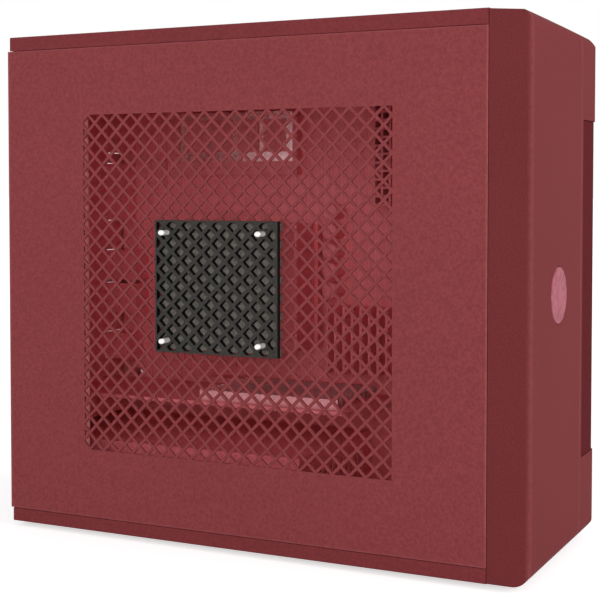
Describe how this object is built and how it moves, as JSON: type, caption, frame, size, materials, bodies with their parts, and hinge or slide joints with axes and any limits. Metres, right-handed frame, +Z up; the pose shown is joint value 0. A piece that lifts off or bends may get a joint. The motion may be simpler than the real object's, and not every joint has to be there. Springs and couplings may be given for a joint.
{
  "type": "firewall appliance",
  "caption": "Upright firewall appliance in a small red steel case with a perforated side panel, a black fan guard and a round front button.",
  "frame": {"origin": "on the surface the feet stand on, below the middle of the overall box", "axes": "+Z up, front bezel towards -Y, perforated side panel towards -X"},
  "size_m": [0.1218, 0.2714, 0.2425],
  "materials": {
    "red_powder_coat": "satin",
    "red_moulded_plastic": "satin",
    "dark_red_plastic": "matte",
    "pale_red_plastic": "satin",
    "black_coated_steel": "matte",
    "filter_mat": "matte",
    "bright_zinc": "polished",
    "tinned_steel": "satin",
    "black_plastic": "matte",
    "steel_shaft": "polished",
    "bearing_bronze": "satin",
    "circuit_board": "satin",
    "red_anodised": "satin",
    "supply_coating": "matte",
    "drive_case": "satin",
    "brass": "satin",
    "foot_rubber": "matte"
  },
  "bodies": {
    "chassis": {"base_tray": "red_powder_coat", "bezel_side_strip": "red_moulded_plastic", "board_capacitors": "black_plastic", "board_chips": "black_plastic", "board_screws": "bright_zinc", "board_standoffs": "brass", "board_tray": "red_powder_coat", "bracket_screw": "bright_zinc", "card_bracket": "tinned_steel", "card_heatsink": "red_anodised", "card_jacks": "tinned_steel", "card_slot": "black_plastic", "chipset_heatsink": "red_anodised", "cover_screws": "bright_zinc", "cpu_heatsink": "red_anodised", "cpu_socket": "black_plastic", "drive_bracket": "red_powder_coat", "drive_screws": "bright_zinc", "feet": "foot_rubber", "front_bezel": "red_moulded_plastic", "lan_jacks": "tinned_steel", "main_board": "circuit_board", "memory_module": "circuit_board", "memory_socket": "black_plastic", "network_card": "circuit_board", "port_shield": "tinned_steel", "power_header": "black_plastic", "power_switch": "black_plastic", "psu_base": "supply_coating", "psu_board": "circuit_board", "psu_components": "black_plastic", "psu_cover": "supply_coating", "psu_fan_bearing": "bearing_bronze", "psu_fan_frame": "black_plastic", "psu_inlet": "black_plastic", "psu_switch_frame": "black_plastic", "serial_port": "tinned_steel", "storage_drive": "drive_case", "strip_insert": "dark_red_plastic", "top_cover": "red_powder_coat", "usb_socket": "tinned_steel", "video_port": "tinned_steel"},
    "mesh_panel": {"mesh_side_panel": "red_powder_coat", "panel_frame": "red_powder_coat", "panel_stiffener": "bright_zinc", "mesh_panel_thumb_screws": "bright_zinc", "fan_guard": "black_coated_steel", "guard_filter": "filter_mat", "guard_screws": "bright_zinc", "fan_frame": "black_plastic", "fan_bearing": "bearing_bronze"},
    "panel_fan": {"fan_rotor": "black_plastic", "fan_shaft": "steel_shaft"},
    "plain_panel": {"plain_side_panel": "red_powder_coat", "plain_panel_thumb_screws": "bright_zinc"},
    "power_button": {"power_button": "pale_red_plastic", "switch_plunger": "black_plastic"},
    "supply_rocker": {"psu_switch_rocker": "black_plastic"},
    "supply_fan": {"psu_fan_rotor": "black_plastic", "psu_fan_shaft": "steel_shaft"}
  },
  "joints": [
    {"name": "mesh_panel_slide", "type": "slide", "parent": "chassis", "child": "mesh_panel", "axis": [0, 1, 0], "range_m": [0, 0.012]},
    {"name": "plain_panel_slide", "type": "slide", "parent": "chassis", "child": "plain_panel", "axis": [0, 1, 0], "range_m": [0, 0.012]},
    {"name": "panel_fan_spin", "type": "hinge", "parent": "mesh_panel", "child": "panel_fan", "pos_m": [-0.0481, 0.01192, 0.1228], "axis": [1, 0, 0], "continuous": true},
    {"name": "power_button_press", "type": "slide", "parent": "chassis", "child": "power_button", "axis": [0, 1, 0], "range_m": [0, 0.0015], "stiffness_N_per_m": 800, "springref_m": -0.0005},
    {"name": "supply_rocker_tip", "type": "hinge", "parent": "chassis", "child": "supply_rocker", "pos_m": [-0.0011, 0.1256, 0.02375], "axis": [-1, 0, 0], "range_deg": [0, 16]},
    {"name": "supply_fan_spin", "type": "hinge", "parent": "chassis", "child": "supply_fan", "pos_m": [0.0254, 0.1276, 0.02375], "axis": [0, 1, 0], "continuous": true}
  ]
}
